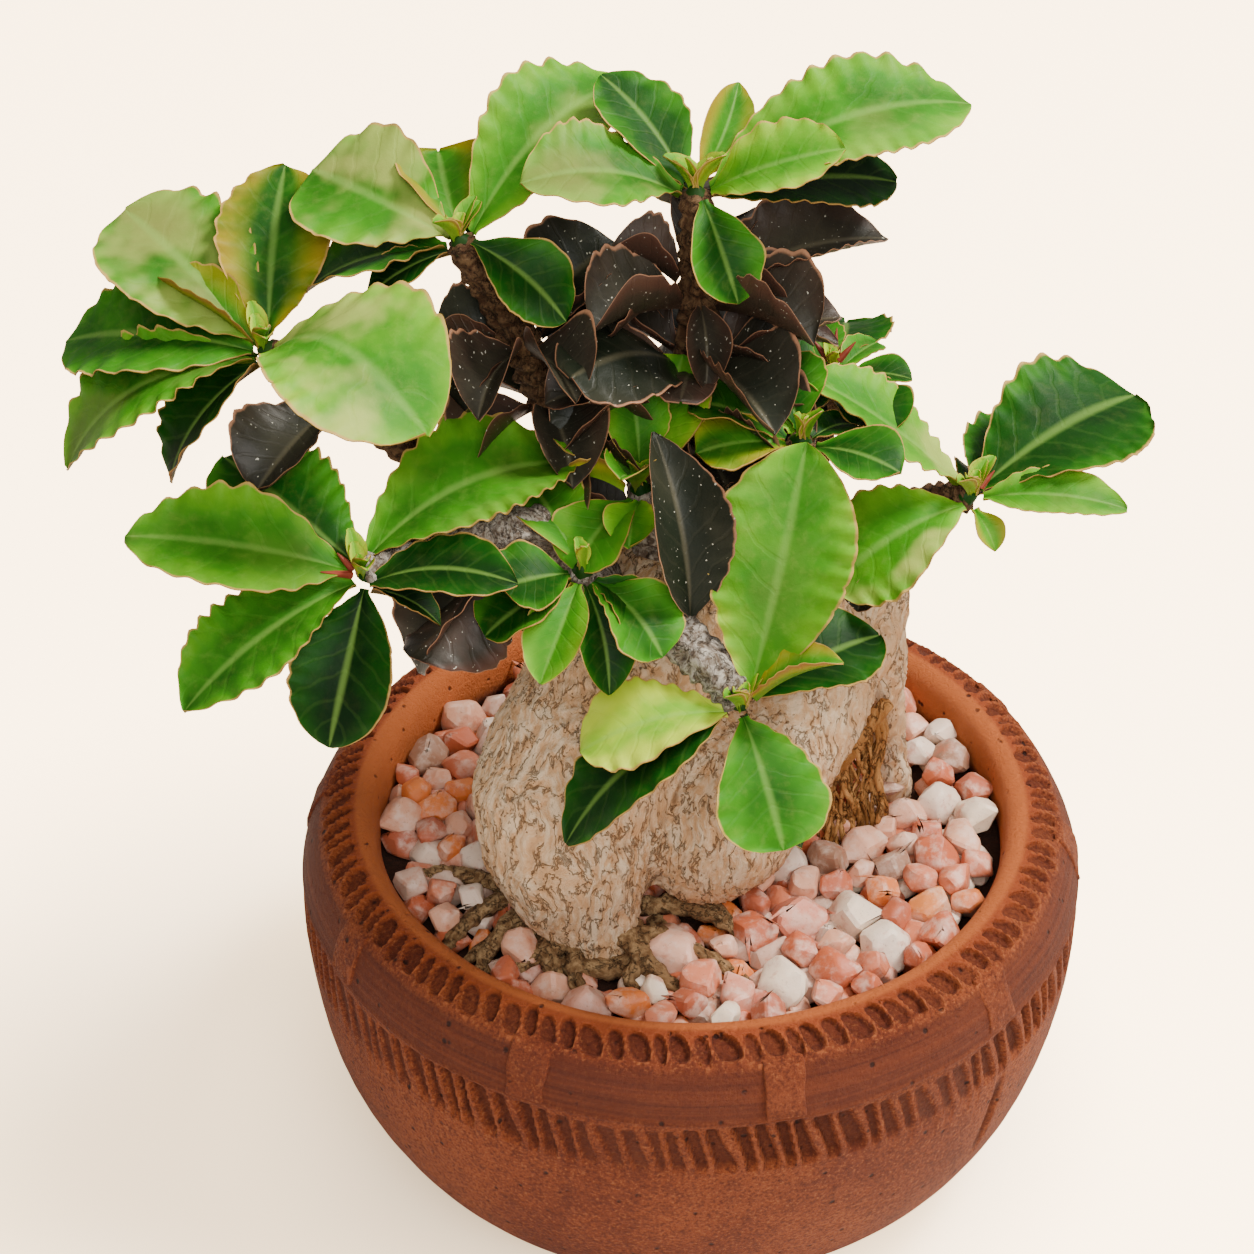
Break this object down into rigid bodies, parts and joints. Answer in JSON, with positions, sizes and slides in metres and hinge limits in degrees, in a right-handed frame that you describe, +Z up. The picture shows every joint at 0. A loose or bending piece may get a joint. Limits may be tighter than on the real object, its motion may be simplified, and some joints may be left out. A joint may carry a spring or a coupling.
{
  "type": "potted bonsai succulent",
  "caption": "Leafy dwarf tree with a swollen bark-covered stem base and dark old leaves, growing in a round clay bowl topped with pink pebbles.",
  "frame": {"origin": "centre of the pot's flat foot", "axes": "+Z up along the pot's axis, -Y towards the viewer, +X to the viewer's right"},
  "size_m": [0.2526, 0.1998, 0.293],
  "materials": {
    "terracotta": "matt fired clay",
    "soil": "damp potting soil",
    "pink_stone": "rounded marble pebbles",
    "pale_bark": "peeling corky bark",
    "brown_bark": "knobbly bark",
    "root_bark": "scaly roots",
    "fresh_leaf": "soft sheen",
    "old_leaf": "dull, dark"
  },
  "bodies": {
    "root": {"pot": "terracotta", "soil": "soil", "gravel": "pink_stone", "stem_base": "pale_bark", "surface_roots": "root_bark", "aerial_roots": "root_bark", "upper_left_stem": "brown_bark", "upper_left_leaves": "fresh_leaf", "upper_left_old_leaves": "old_leaf", "top_left_stem": "brown_bark", "top_left_leaves": "fresh_leaf", "top_left_old_leaves": "old_leaf", "top_stem": "brown_bark", "top_leaves": "fresh_leaf", "top_old_leaves": "old_leaf", "top_low_old_leaves": "old_leaf", "right_stem": "brown_bark", "right_leaves": "fresh_leaf", "right_old_leaves": "old_leaf", "lower_left_stem": "brown_bark", "lower_left_leaves": "fresh_leaf", "lower_left_old_leaves": "old_leaf", "front_stem": "brown_bark", "front_leaves": "fresh_leaf", "front_old_leaves": "old_leaf", "middle_stem": "brown_bark", "middle_leaves": "fresh_leaf", "middle_old_leaves": "old_leaf", "left_stem": "brown_bark", "left_leaves": "fresh_leaf", "right_middle_stem": "brown_bark", "right_middle_leaves": "fresh_leaf", "back_right_stem": "brown_bark", "back_right_leaves": "fresh_leaf"}
  },
  "joints": []
}
